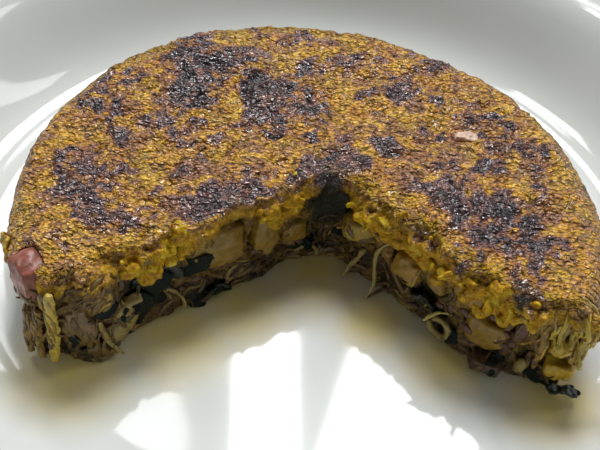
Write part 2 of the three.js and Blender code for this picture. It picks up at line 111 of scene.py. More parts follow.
# Charred patches of the crust: middle, half width, half depth, turn in degrees, darkness
CHAR_PATCHES = [
    (-40, 72, 9, 6, 10, 0.8), (-42, 62, 8, 6, 0, 0.9), (-33, 58, 8, 6, 10, 1.0),
    (-22, 66, 8, 5, -15, 1.0), (-38, 48, 9, 7, -20, 0.9), (-35, 37, 10, 5, 10, 0.95),
    (-12, 48, 8, 7, 15, 1.0), (-15, 37, 7, 6, 0, 0.95), (0, 60, 6, 5, 0, 0.85),
    (0, 40, 5, 8, 0, 0.8), (3, 29, 4, 7, 0, 0.7), (-2, 80, 6, 5, 0, 0.75),
    (15, 65, 6, 7, -20, 0.7), (24, 68, 5, 4, 0, 0.7), (42, 65, 5, 5, -30, 0.95),
    (18, 46, 4, 3, 20, 1.0), (31, 48, 6, 6, 20, 0.85), (40, 44, 3, 2.5, 0, 0.8),
    (-62, 48, 8, 5, 10, 0.7), (-66, 34, 6, 6, 0, 0.75), (-62, 28, 4, 4, 0, 0.85),
    (-57, 18, 3.5, 4, 20, 1.0), (-43, 28, 4, 6, 20, 0.75), (-36, 21, 4, 6, -20, 0.7),
    (-67, 6, 4, 4, 0, 0.95), (-60, -1, 9, 10, 10, 0.8), (-67, -6, 4, 3, 0, 1.0),
    (-57, -15, 5, 8, 20, 0.9), (-32, 11, 2.5, 1.6, 0, 0.95), (-36, 3, 3, 2.4, 0, 0.95),
    (-41, -4, 2.2, 3.2, 0, 0.95), (-22, -6, 11, 5.5, 18, 1.0), (-28, -11, 6, 4, 0, 0.9),
    (-46, -15, 6, 5, 20, 0.7), (-15, 5, 5, 3, 0, 0.65), (-27, 17, 4, 2.4, 0, 0.65),
    (-8, 24, 4, 5, 0, 0.7), (-18, 27, 4, 4, 0, 0.65), (1, 4, 4, 7, 0, 1.0), (5, 6, 6, 4, 0, 1.0),
    (13, 10, 4.8, 6.5, -10, 1.0), (24.5, 18, 4.2, 4.5, 30, 1.0), (33, 3, 5, 2.6, 5, 1.0),
    (42, 10, 5, 2.4, 0, 0.95), (45, 5, 3, 4, 0, 0.85), (53, 13, 4.6, 3.8, 0, 1.0),
    (59.5, 23, 3, 6, 10, 0.9), (53.5, 28, 3, 2, 0, 0.8), (38, 25, 3, 3, 0, 0.75),
    (39, -2, 6, 5, 0, 1.0), (54, -3, 6, 4, 5, 1.0), (46, -8, 9, 4, 0, 0.85),
    (50, -15, 12, 8, -30, 0.74), (45, -24, 4, 6, 0, 0.8), (62, -17, 7, 9, 10, 0.72),
    (58, -28, 6, 5, 0, 0.75), (58, -37, 4, 4, 0, 0.8), (68, 12, 6, 15, 0, 0.62),
    (-50, 24, 3, 4, 0, 0.55), (-20, 80, 5, 3, 0, 0.55), (30, 58, 4, 3, 0, 0.5),
    (50, 40, 6, 5, 30, 0.45), (22, 34, 3, 4, 0, 0.6), (10, 22, 4, 4, 0, 0.6),
    (62, 34, 5, 6, 20, 0.5), (36, 74, 4, 3, 0, 0.5), (-55, 60, 5, 5, 30, 0.5),
    (-10, 72, 5, 4, 0, 0.55), (8, 72, 4, 4, 0, 0.55), (64, 2, 5, 7, 0, 0.5),
]

# Soft golden and orange places that the pan's heat left pale, given in the same way
GOLD_PATCHES = [
    (-25, 76, 4, 5, 0, 1.0), (7, 81, 6, 3, 0, 1.0), (-52, 66, 5, 4, 30, 1.0),
    (-24, 36, 3, 6, 0, 1.0), (20, 28, 9, 5, 0, 0.8), (-12, 13, 9, 4, 0, 0.8),
    (-63, -26, 9, 6, 10, 0.9), (-9, 62, 3.5, 9, 0, 0.8), (9, 52, 4, 6, 0, 0.8),
    (-42, 8, 8, 8, 0, 0.5), (30, 36, 7, 5, 0, 0.6), (28, 10, 4, 3, 0, 0.7),
    (62, 10, 3, 8, 0, 0.7), (-50, 40, 4, 4, 0, 0.5), (48, 58, 6, 4, -30, 0.6),
    (-22, 22, 3, 4, 0, 0.8), (46, 18, 4, 3, 0, 0.6), (-48, -24, 6, 3, 0, 0.8),
    (30, -4, 4, 4, 0, 0.8), (40, 34, 6, 4, 0, 0.5),
]

# Folds of the crust, each a line along which the surface drops on its left side: the two ends,
# how far it drops, and how far out it takes to rise again
FOLDS = [
    (-14, 60, -25, 46, 1.7, 6), (35, 34, 41, 30.5, 1.0, 4), (41, 30.5, 61, 31.5, 1.1, 3),
    (59, -13, 63, -9, 1.2, 4), (63, -9, 72, -9, 1.0, 4), (-50, 62, -27, 55, 1.0, 3),
    (-48, 54, -30, 44, 0.9, 3), (-44, 40, -27, 36, 1.1, 3), (-21, 45, -23, 30, 1.0, 3),
    (-19, 21, -22, 12, 1.2, 3), (-50, 66, -30, 64, 0.8, 2.5), (4, 81, 15, 80, 1.0, 3),
    (-38, 33, -24, 31, 0.9, 3), (40, -14, 58, -12, 0.8, 3), (42, -21, 60, -18, 0.8, 3),
    (15, 33, 30, 40, 0.7, 3), (-12, 20, 6, 18, 0.7, 3), (-70, 24, -52, 30, 0.7, 3),
    (30, 56, 50, 50, 0.8, 3), (-52, 0, -38, 4, 0.6, 3), (-30, 24, -12, 26, 0.7, 3),
]

# Noise, worked out on whole arrays of points in millimetres

# Large odd numbers that mix a lattice point's place and the seed
CELL_MIXERS = np.array([73856093, 19349663, 83492791])
SEED_MIXER = 26544357
LAST_MIXER = 1274126177

# How far a scattered centre strays from the middle of its cell
STRAY = 0.42


def lattice_value(cell, seed):
    """A random value from -1 to 1 for each whole-numbered lattice point."""
    mixed = (cell * CELL_MIXERS).sum(axis=-1) + seed * SEED_MIXER
    mixed = (mixed ^ (mixed >> 13)) * LAST_MIXER
    mixed = mixed ^ (mixed >> 16)
    return (mixed & 0xFFFF) / 32767.5 - 1


def smooth_noise(points, size, seed):
    """Noise from -1 to 1 whose bumps are about one size across."""
    scaled = points / size
    cell = np.floor(scaled).astype(np.int64)
    part = scaled - cell
    part = part * part * (3 - 2 * part)
    total = np.zeros(len(points))
    for corner in np.ndindex(2, 2, 2):
        weight = np.where(corner, part, 1 - part).prod(axis=1)
        total += weight * lattice_value(cell + np.array(corner), seed)
    return total


def layered_noise(points, size, layers, seed):
    total = np.zeros(len(points))
    for layer in range(layers):
        total += smooth_noise(points, size / 2 ** layer, seed + layer) / 2 ** layer
    return total


def billows(points, size, layers, seed):
    """Rounded bumps that meet in sharp creases, from 0 on a crease to about 1."""
    total = np.zeros(len(points))
    for layer in range(layers):
        total += abs(smooth_noise(points, size / 2 ** layer, seed + layer)) / 2 ** layer
    return total


def warped(points, size, reach, seed, layers=2):
    """The points shifted by noise, which makes a regular pattern ragged."""
    shift = [layered_noise(points, size, layers, seed + 10 * axis) for axis in range(3)]
    return points + reach * np.stack(shift, axis=1)


def crack_distance(points, size, seed):
    """How much further the second nearest of many scattered centres is than the nearest
    one, which is 0 along the cracks between them."""
    scaled = points / size
    base = np.floor(scaled).astype(np.int64)
    nearest = np.full(len(points), 9.0)
    second = np.full(len(points), 9.0)
    for offset in np.ndindex(3, 3, 3):
        cell = base + np.array(offset) - 1
        shift = np.stack([lattice_value(cell, seed + axis) for axis in (1, 2, 3)], axis=1)
        distance = np.linalg.norm(scaled - cell - 0.5 - STRAY * shift, axis=1)
        second = np.where(distance < nearest, nearest, np.minimum(second, distance))
        nearest = np.minimum(nearest, distance)
    return (second - nearest) * size


def smooth_step(low, high, value):
    share = np.clip((value - low) / (high - low), 0, 1)
    return share * share * (3 - 2 * share)


def unit(values):
    """One vector or many, each made 1 long."""
    return values / np.linalg.norm(values, axis=-1, keepdims=True)


def within(start, end, value, soft=2):
    """1 between two values and 0 outside them, with a soft change at both."""
    return (smooth_step(start - soft, start + soft, value)
            * smooth_step(end + soft, end - soft, value))


# The knife's path

def bend(start, first, second, end, steps=16):
    """Points along a cubic curve between two points, drawn by two handles."""
    t = np.linspace(0, 1, steps + 1)[:, None]
    start, first, second, end = (np.array(p, float) for p in (start, first, second, end))
    return ((1 - t) ** 3 * start + 3 * (1 - t) ** 2 * t * first
            + 3 * (1 - t) * t ** 2 * second + t ** 3 * end)


STEPS_PER_SPAN = 40


def knife_path():
    """Points along the smooth path through the listed ones, and each one's distance along the
    path, counted from the apex."""
    places = np.array([*CUT_LEFT, CUT_APEX, *CUT_RIGHT], float)
    points = []
    for i in range(len(places) - 1):
        before = places[max(i - 1, 0)]
        start, end = places[i], places[i + 1]
        after = places[min(i + 2, len(places) - 1)]
        span = bend(start, start + (end - before) / 6, end - (after - start) / 6, end,
                    STEPS_PER_SPAN)
        points.append(span[:-1])
    points = np.vstack([*points, places[-1]])
    along = np.concatenate([[0], np.cumsum(np.linalg.norm(np.diff(points, axis=0), axis=1))])
    return points, along - along[STEPS_PER_SPAN * len(CUT_LEFT)]


PATH, PATH_ALONG = knife_path()
PATH_TANGENT = unit(np.gradient(PATH, axis=0))
PATH_NORMAL = np.stack([PATH_TANGENT[:, 1], -PATH_TANGENT[:, 0]], axis=1)


# How many points are compared with the path at a time, and the stride along its places
POINTS_AT_A_TIME = 20000
PATH_STRIDE = 4


def beside_cut(points):
    """For each point, the index of the nearest place on the knife's path, and how far the
    point lies in front of the path, in the missing wedge, or behind it where negative."""
    index = np.zeros(len(points), int)
    front = np.zeros(len(points))
    for first in range(0, len(points), POINTS_AT_A_TIME):
        part = slice(first, first + POINTS_AT_A_TIME)
        some = points[part, :2]
        apart = some[:, None, :] - PATH[None, ::PATH_STRIDE]
        nearest = PATH_STRIDE * (apart ** 2).sum(axis=2).argmin(axis=1)
        index[part] = nearest
        front[part] = ((some - PATH[nearest]) * PATH_NORMAL[nearest]).sum(axis=1)
    return index, front


def on_path(along, out):
    """A point at a distance along the path and in front of it, and the path's two directions
    there."""
    at = np.array([np.interp(along, PATH_ALONG, PATH[:, axis]) for axis in (0, 1)])
    i = int(np.searchsorted(PATH_ALONG, along).clip(0, len(PATH) - 1))
    return at + out * PATH_NORMAL[i], PATH_TANGENT[i], PATH_NORMAL[i]


# Meshes

def new_object(name, vertices, faces, material):
    """A mesh object whose vertices are given in metres, in the frame."""
    mesh = bpy.data.meshes.new(name)
    mesh.from_pydata([tuple(v) for v in vertices], [], [tuple(f) for f in faces])
    mesh.update()
    obj = bpy.data.objects.new(name, mesh)
    bpy.context.scene.collection.objects.link(obj)
    mesh.materials.append(material)
    mesh.polygons.foreach_set("use_smooth", [True] * len(mesh.polygons))
    return obj


def vectors(items, key):
    values = np.zeros(len(items) * 3, np.float32)
    items.foreach_get(key, values)
    return values.reshape(-1, 3).astype(float)


def set_points(mesh, points):
    """Moves a mesh's vertices to points given in the omelette's frame."""
    mesh.vertices.foreach_set("co", to_frame(points).astype(np.float32).ravel())
    mesh.update()


def normals(mesh):
    return vectors(mesh.vertex_normals, "vector")


def set_attributes(mesh, fields):
    """Stores named values, one for each vertex, for the materials to read."""
    for name, values in fields.items():
        attribute = mesh.attributes.new(name, "FLOAT", "POINT")
        attribute.data.foreach_set("value", values.astype(np.float32))


def remeshed(obj, voxel):
    """Gives an object a new mesh of even quads over the outside of its old one."""
    material = obj.data.materials[0]
    remesh = obj.modifiers.new("even", "REMESH")
    remesh.mode = "VOXEL"
    remesh.voxel_size = voxel * MM
    graph = bpy.context.evaluated_depsgraph_get()
    mesh = bpy.data.meshes.new_from_object(obj.evaluated_get(graph))
    obj.modifiers.clear()
    obj.data = mesh
    mesh.name = obj.name
    mesh.materials.clear()
    mesh.materials.append(material)
    mesh.polygons.foreach_set("use_smooth", [True] * len(mesh.polygons))
    return mesh


def remeshed_copy(node, name, voxel, material):
    """A new object with the CAD node's form, remeshed into even quads."""
    obj = bpy.data.objects.new(name, frame["nodes"][node].data.copy())
    bpy.context.scene.collection.objects.link(obj)
    obj.data.materials.clear()
    obj.data.materials.append(material)
    remeshed(obj, voxel)
    return obj


# How far one smoothing step moves a vertex towards its neighbours' middle, and how far the
# next one moves it away again, which keeps the size
PULL = 0.5
PUSH = -0.52


def softened(mesh, rounds):
    """Smooths away a mesh's facets and returns its points in the omelette's frame."""
    values = vectors(mesh.vertices, "co")
    edges = np.zeros(len(mesh.edges) * 2, np.int32)
    mesh.edges.foreach_get("vertices", edges)
    edges = edges.reshape(-1, 2)
    count = len(values)
    degree = np.bincount(edges.ravel(), minlength=count)[:, None]
    for step in range(2 * rounds):
        total = np.stack([
            np.bincount(edges[:, 0], values[edges[:, 1], axis], count)
            + np.bincount(edges[:, 1], values[edges[:, 0], axis], count)
            for axis in range(3)], axis=1)
        values = values + (total / degree - values) * (PULL if step % 2 == 0 else PUSH)
    points = to_omelette(values)
    set_points(mesh, points)
    return points


def to_omelette(points):
    return points / MM - ORIGIN


def to_frame(points):
    return (points + ORIGIN) * MM


# Node trees

class Look:
    """Short calls that build one material's node tree, with sizes in millimetres."""

    def __init__(self, name, **shader_values):
        self.material = bpy.data.materials.new(name)
        self.material.use_nodes = True
        self.tree = self.material.node_tree
        self.shader = self.tree.nodes["Principled BSDF"]
        self.place = self.tree.nodes.new("ShaderNodeTexCoord").outputs["Object"]
        self.finish(**shader_values)

    def link(self, value, socket):
        if isinstance(value, bpy.types.NodeSocket):
            self.tree.links.new(value, socket)
        else:
            socket.default_value = value

    def node(self, kind, inputs, **settings):
        node = self.tree.nodes.new(kind)
        for key, value in settings.items():
            setattr(node, key, value)
        for key, value in inputs.items():
            self.link(value, node.inputs[key])
        return node

    def scaled_place(self, size, stretch):
        scale = tuple(axis / (size * MM) for axis in stretch)
        return self.node("ShaderNodeMapping", {"Vector": self.place, "Scale": scale}).outputs[0]

    def noise(self, size, detail=3.0, roughness=0.6, distortion=0.0, stretch=(1, 1, 1)):
        return self.node("ShaderNodeTexNoise", {
            "Vector": self.scaled_place(size, stretch), "Scale": 1.0, "Detail": detail,
            "Roughness": roughness, "Distortion": distortion}).outputs["Fac"]

    def beads(self, size, stretch=(1, 1, 1)):
        """Small domes side by side, 1 at their tops."""
        apart = self.node("ShaderNodeTexVoronoi", {
            "Vector": self.scaled_place(size, stretch), "Scale": 1.0})
        return self.math("SUBTRACT", 1.0, self.math("POWER", apart.outputs["Distance"], 2.0))

    def attribute(self, name):
        return self.node("ShaderNodeAttribute", {}, attribute_name=name).outputs["Fac"]

    def math(self, operation, first, second=0.0, clamp=False):
        return self.node("ShaderNodeMath", {0: first, 1: second}, operation=operation,
                         use_clamp=clamp).outputs[0]

    def product(self, value, *factors):
        for factor in factors:
            value = self.math("MULTIPLY", value, factor)
        return value

    def total(self, base, *terms):
        """A base value plus further ones, each given with its weight."""
        for value, weight in terms:
            base = self.node("ShaderNodeMath", {0: value, 1: weight, 2: base},
                             operation="MULTIPLY_ADD").outputs[0]
        return base

    def step(self, value, low, high, start=0.0, end=1.0):
        return self.node("ShaderNodeMapRange", {
            "Value": value, "From Min": low, "From Max": high, "To Min": start,
            "To Max": end}, interpolation_type="SMOOTHSTEP").outputs[0]

    def mix(self, share, first, second, blend="MIX"):
        node = self.node("ShaderNodeMix", {0: share}, data_type="RGBA", blend_type=blend)
        for value, index in ((first, 6), (second, 7)):
            self.link((*value, 1.0) if isinstance(value, tuple) else value, node.inputs[index])
        return node.outputs[2]

    def ramp(self, value, *stops):
        node = self.node("ShaderNodeValToRGB", {"Fac": value})
        elements = node.color_ramp.elements
        for i, (place, color) in enumerate(stops):
            element = elements[i] if i < 2 else elements.new(place)
            element.position = place
            element.color = (*color, 1.0)
        return node.outputs["Color"]

    def bump(self, height, depth, strength=1.0, under=None):
        inputs = {"Height": height, "Distance": depth * MM, "Strength": strength}
        if under is not None:
            inputs["Normal"] = under
        return self.node("ShaderNodeBump", inputs).outputs[0]

    def finish(self, **sockets):
        """Sets or links the shader's sockets, given by name, and returns the material."""
        for key, value in sockets.items():
            self.link(value, self.shader.inputs[key.replace("_", " ")])
        return self.material


# Materials

# Where a thin film of juice and oil tints the plate, together with painted warm light thrown back
# from the omelette: the place seen from above, and how far the tint spreads from it
JUICE_AND_BOUNCE = [(5, -22, 32), (-18, -38, 27), (-36, -50, 29), (-60, -66, 26), (24, -42, 20),
         (44, -54, 22), (70, -68, 22)]
JUICE_AND_BOUNCE_TINT = (0.84, 0.68, 0.25)
JUICE_AND_BOUNCE_STRENGTH = 0.95


def glaze_material():
    look = Look("plate_glaze", Roughness=0.07, IOR=1.5)
    tint = look.ramp(look.noise(60, 2), (0.3, (0.69, 0.705, 0.665)), (0.7, (0.74, 0.745, 0.715)))
    uneven = look.product(look.math("SUBTRACT", look.noise(9, 3), 0.5), 0.7)
    film_and_bounce = 0.0
    for x, y, reach in JUICE_AND_BOUNCE:
        middle = (x * MM, y * MM, FLOOR * MM)
        apart = look.node("ShaderNodeVectorMath", {0: look.place, 1: middle},
                          operation="DISTANCE").outputs["Value"]
        near = look.step(apart, 0.0, reach * MM, 1.0, 0.0)
        film_and_bounce = look.math("MAXIMUM", near, film_and_bounce)
    film_and_bounce = look.math("ADD", film_and_bounce, look.product(film_and_bounce, uneven))
    film_and_bounce = look.math("MULTIPLY", film_and_bounce, JUICE_AND_BOUNCE_STRENGTH, clamp=True)
    # The warm tint is partly juice and partly painted bounce light from the omelette
    tint = look.mix(film_and_bounce, tint, JUICE_AND_BOUNCE_TINT)
    waves = look.bump(look.noise(28, 1), 0.12, 0.35)
    return look.finish(Base_Color=tint, Normal=waves)


def crust_material():
    look = Look("browned_crust", IOR=1.45, Specular_IOR_Level=0.25, Coat_Roughness=0.16,
                Coat_IOR=1.8)
    wide = look.noise(9, 3, 0.6)
    patch = look.noise(5.5, 4, 0.6, 0.8)
    streaks = look.noise(2.4, 3, 0.7, 1.2, stretch=(0.55, 1.25, 1))
    grit = look.noise(0.85, 3, 0.75)
    char = look.attribute("char")
    pit = look.attribute("pit")
    side = look.attribute("side")
    # The tone is darkened by char and by painted shade in creases, folds and cracks
    tone = look.total(-0.07, (patch, 1.0), (streaks, 0.3), (grit, 0.2),
                      (look.attribute("gold"), 0.15), (char, -0.5), (pit, -0.24))
    # The darkest stops give the char a violet tint, which is painted sheen
    color = look.ramp(
        tone, (0.0, (0.050, 0.033, 0.036)), (0.18, (0.115, 0.062, 0.060)),
        (0.30, (0.235, 0.110, 0.085)), (0.44, (0.36, 0.155, 0.065)), (0.58, (0.53, 0.245, 0.045)),
        (0.74, (0.67, 0.355, 0.045)), (1.0, (0.82, 0.51, 0.10)))
    # Mauve and pinkish tinges, partly the crust's own colour and partly painted sheen
    mauve_sheen_tinge = look.product(look.step(look.noise(8, 4, 0.65, 0.8), 0.505, 0.55, 0, 0.8),
                         look.step(tone, 0.2, 0.4))
    color = look.mix(mauve_sheen_tinge, color, (0.26, 0.118, 0.082))
    pinkish_sheen_tinge = look.product(look.step(look.noise(6, 4, 0.7, 1.0), 0.46, 0.58, 0, 0.5),
                           look.step(tone, 0.3, 0.5))
    color = look.mix(pinkish_sheen_tinge, color, (0.43, 0.205, 0.10))
    olive = look.product(look.step(wide, 0.48, 0.62, 0, 0.45), look.step(tone, 0.4, 0.6))
    color = look.mix(olive, color, (0.54, 0.335, 0.035))
    side_color = look.ramp(
        look.total(-0.3, (patch, 0.9), (grit, 0.7)),
        (0.3, (0.17, 0.084, 0.008)), (0.5, (0.31, 0.17, 0.011)), (0.75, (0.455, 0.28, 0.02)))
    color = look.mix(side, color, side_color)

    cut = look.attribute("cut")
    fibres = look.noise(3.6, 4, 0.6, 2.0)
    filling = look.ramp(
        look.total(-0.45, (fibres, 1.1), (grit, 0.25), (look.attribute("low"), -0.2),
                   (pit, -0.1), (wide, 0.5)),
        (0.0, (0.03, 0.02, 0.010)), (0.2, (0.075, 0.044, 0.018)), (0.38, (0.155, 0.09, 0.024)),
        (0.55, (0.235, 0.14, 0.03)), (0.72, (0.33, 0.195, 0.035)), (0.95, (0.44, 0.27, 0.035)))
    egg = look.ramp(look.total(-0.3, (fibres, 1.0), (grit, 0.6)), (0.25, (0.34, 0.15, 0.008)),
                    (0.5, (0.58, 0.31, 0.01)), (0.75, (0.72, 0.46, 0.03)))
    filling = look.mix(look.attribute("curd"), filling, egg)
    # Near black at the dark places: dark leaf and painted shadow in the cut's gaps and hollows
    filling = look.mix(look.product(look.attribute("dark"), 0.96), filling,
                       (0.013, 0.013, 0.009))
    color = look.mix(cut, color, filling)
    beads = look.beads(1.2, (0.8, 1.2, 1))
    # Painted light and shade on the beads: their tops are lightened and the gaps between them
    # darkened, mixed with a random grain; weaker on the cut
    shade = look.step(look.total(0.0, (beads, 0.5), (grit, 0.8)), 0.48, 1.05, 0.36, 1.62)
    color = look.mix(look.step(cut, 0, 1, 1.0, 0.4), color, shade, "MULTIPLY")

    rough = look.total(0.22, (char, -0.06), (cut, 0.25))
    relief = look.bump(look.noise(2.4, 2, 0.6), 0.9, 0.7)
    crumbs = look.total(0.0, (beads, 0.5), (look.noise(1.5, 1, 0.6, 0.8, (0.8, 1.2, 1)), 1.4))
    relief = look.bump(crumbs, 1.5, look.step(cut, 0, 1, 1.0, 0.25), relief)
    oily = look.step(look.total(0.0, (look.noise(1.3, 2, 0.6), 1.0), (char, 0.12)), 0.46, 0.56)
    oily = look.product(oily, look.step(cut, 0, 1, 1.0, 0.0))
    oily = look.math("MULTIPLY", oily, look.total(0.75, (char, 0.35)), clamp=True)
    oily = look.product(oily, look.step(side, 0, 1, 1.0, 0.12))
    return look.finish(Base_Color=color, Roughness=rough, Normal=relief, Coat_Normal=relief,
                       Coat_Weight=oily)


def soft_material(name, dark, light, size=2.5, roughness=0.4, depth=0.3, wet=0.2, shine=0.5):
    """Moist cooked food: two shades that mingle, a fine grain and a wet surface."""
    look = Look(name, IOR=1.42, Subsurface_Weight=0.15, Subsurface_Scale=0.002,
                Coat_Weight=wet, Coat_Roughness=0.25, Specular_IOR_Level=shine)
    mingled = look.noise(size, 4, 0.6)
    color = look.ramp(mingled, (0.3, dark), (0.7, light))
    relief = look.bump(look.noise(size * 0.4, 3, 0.65), depth, 0.7)
    return look.finish(Base_Color=color, Roughness=roughness, Normal=relief)


# The plate's section, in millimetres and degrees. The rim and the shoulder are given as the
# distance from the plate's middle and the height. A bend is the reach of a curve's handle.

RIM = (143.0, 43.4)
RIM_SLOPE = 18.0
RIM_BEND = 3.8
LIP = 2.0
SHOULDER = (131.0, 35.7)
WALL_SLOPE = 52.0
WALL_BEND = 18.4
WELL = 92.5
WELL_BEND = 24.0
FLOOR = 8.0
PLATE_WALL = 4.4
FOOT_OUT = 84.0
FOOT_IN = 78.0
STEPS_AROUND = 192


def along_slope(point, degrees, distance):
    """A point at a distance from another along a slope, uphill where it is positive."""
    angle = math.radians(degrees)
    return point[0] + distance * math.cos(angle), point[1] + distance * math.sin(angle)


def arc(centre, radius, start, end):
    angle = np.radians(np.linspace(start, end, 13))[:, None]
    return np.array(centre) + radius * np.hstack([np.cos(angle), np.sin(angle)])


def plate_section():
    """The plate's section from the middle of its underside round to the middle of its top."""
    under = FLOOR - PLATE_WALL
    lip_middle = (RIM[0] - LIP, RIM[1] - LIP)
    rim_top = along_slope(lip_middle, 90 + RIM_SLOPE, LIP)
    under_shoulder = along_slope(SHOULDER, WALL_SLOPE - 90, PLATE_WALL)
    return np.vstack([
        [(0, under), (FOOT_IN - 20, under), (FOOT_IN - 1.6, under)],
        bend((FOOT_IN - 1.2, under), (FOOT_IN - 0.6, under), (FOOT_IN - 0.2, 0.3),
             (FOOT_IN + 0.8, 0), 5),
        bend((FOOT_OUT - 0.8, 0), (FOOT_OUT + 0.1, 0), (FOOT_OUT + 0.5, under),
             (FOOT_OUT + 1.4, under), 5),
        bend((WELL + 2, under), (WELL + WELL_BEND, under),
             along_slope(under_shoulder, WALL_SLOPE, -WALL_BEND), under_shoulder),
        arc(lip_middle, LIP, -45, 90 + RIM_SLOPE),
        bend(rim_top, along_slope(rim_top, RIM_SLOPE, -RIM_BEND),
             along_slope(SHOULDER, WALL_SLOPE, RIM_BEND), SHOULDER)[1:],
        bend(SHOULDER, along_slope(SHOULDER, WALL_SLOPE, -WALL_BEND),
             (WELL + WELL_BEND, FLOOR), (WELL, FLOOR), 24)[1:],
        [(WELL - 6, FLOOR), (60, FLOOR), (0, FLOOR)],
    ])


def turned_plate(material):
    section = plate_section()
    rings = section[1:-1]
    around = STEPS_AROUND
    angles = np.arange(around) * 2 * np.pi / around
    points = [(0, 0, section[0][1])]
    for radius, height in rings:
        points += [(radius * math.cos(a), radius * math.sin(a), height) for a in angles]
    points.append((0, 0, section[-1][1]))
    faces = []
    for i in range(around):
        j = (i + 1) % around
        faces.append((0, 1 + j, 1 + i))
        for ring in range(len(rings) - 1):
            low, high = 1 + ring * around, 1 + (ring + 1) * around
            faces.append((low + i, low + j, high + j, high + i))
        last = 1 + (len(rings) - 1) * around
        faces.append((last + i, last + j, len(points) - 1))
    plate = new_object("glazed_plate", np.array(points) * MM, faces, material)
    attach(plate, "root")
    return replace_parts(plate, "plate")


# The omelette

def patch_field(points, patches):
    """How strongly the nearest patch covers each point of the crust: 1 well inside it."""
    field = np.zeros(len(points))
    for x, y, half_width, half_depth, turn, strength in patches:
        angle = math.radians(turn)
        dx, dy = points[:, 0] - x, points[:, 1] - y
        across = (dx * math.cos(angle) + dy * math.sin(angle)) / half_width
        deep = (dy * math.cos(angle) - dx * math.sin(angle)) / half_depth
        field = np.maximum(field, strength * np.clip(1.75 - np.hypot(across, deep), 0, 1))
    return field


def dark_and_shadow_field(along, z):
    """How dark the filling is at each place of the cut, from dark leaf and char and from painted
    shadow: 1 where it is nearly black.
    """
    field = np.zeros(len(along))
    for place, height, half_width, half_height, darkness in DARK_AND_SHADOWED_PLACES:
        apart = np.hypot((along - place) / half_width, (z - height) / half_height)
        field = np.maximum(field, darkness * smooth_step(1.35, 0.75, apart))
    return field


def curd_field(along, z):
    """Where soft egg curds bulge out under the crust's cut edge."""
    field = np.zeros(len(along))
    for start, end, _, drop in [*CURD_STRETCHES, (*THIN_EGG_EDGE, 0, 0)]:
        low = THICKNESS - 4.5 - 1.1 * drop
        egg = within(start, end, along) * smooth_step(low - 2.5, low + 1.5, z)
        field = np.maximum(field, egg)
    return field


def fold_field(points):
    """How far the crust's folds lower each point."""
    field = np.zeros(len(points))
    for x0, y0, x1, y1, drop, run in FOLDS:
        way = np.array([x1 - x0, y1 - y0], float)
        length = np.linalg.norm(way)
        way /= length
        apart = points[:, :2] - [x0, y0]
        along = apart @ way
        left = apart @ np.array([-way[1], way[0]])
        inside = smooth_step(-2.5, 1.5, along) * smooth_step(length + 2.5, length - 1.5, along)
        field += drop * inside * np.exp(-np.maximum(left, 0) / run) * smooth_step(-0.8, 0.3, left)
    return field


def flatten_base(mesh):
    """Joins the many small faces of the flat base, which lies on the plate, into one."""
    form = bmesh.new()
    form.from_mesh(mesh)
    level = (ORIGIN[2] + 0.02) * MM
    flat = [face for face in form.faces if all(v.co.z < level for v in face.verts)]
    bmesh.ops.dissolve_faces(form, faces=flat, use_verts=False)
    form.to_mesh(mesh)
    form.free()


